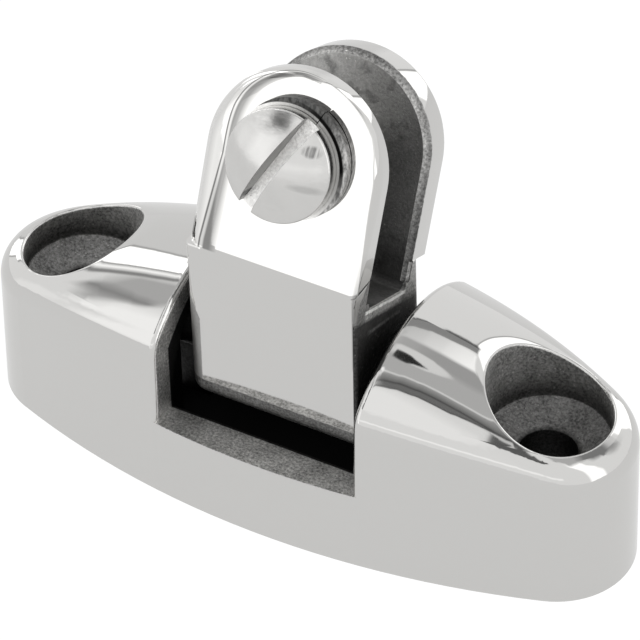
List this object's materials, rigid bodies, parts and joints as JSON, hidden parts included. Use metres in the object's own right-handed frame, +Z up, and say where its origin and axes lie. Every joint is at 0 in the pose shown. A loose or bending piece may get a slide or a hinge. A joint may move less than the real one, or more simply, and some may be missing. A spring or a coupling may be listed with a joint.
{
  "type": "swivelling deck hinge",
  "caption": "Cast stainless deck hinge: boat-shaped screw-down base with a forked knuckle that swings fore and aft and takes a tube end on a slotted clevis screw.",
  "frame": {"origin": "centre of the base on the deck plane, midway between the two deck screw holes", "axes": "+X along the base through both deck screws, +Y towards the back, the way the ears lean, +Z up from the deck"},
  "size_m": [0.08, 0.03, 0.0542],
  "materials": {
    "base_casting": "mirror-polished cast stainless steel outside, matt as-cast in the window, the screw seats and the underside",
    "fork_casting": "mirror-polished cast stainless steel outside, matt as-cast in the jaw and on the lower sides",
    "pin_steel": "ground stainless steel",
    "screw_steel": "satin polished stainless steel with a rough milled slot",
    "washer_steel": "rolled stainless spring steel, satin"
  },
  "bodies": {
    "base_body": {"base": "base_casting", "pivot_pin": "pin_steel"},
    "fork_body": {"swivel_fork": "fork_casting", "clevis_screw": "screw_steel", "lock_washer": "washer_steel"}
  },
  "joints": [
    {"name": "fork_swing", "type": "hinge", "parent": "base_body", "child": "fork_body", "pos_m": [0, 0, 0.017], "axis": [1, 0, 0], "range_deg": [-80, 76]}
  ]
}
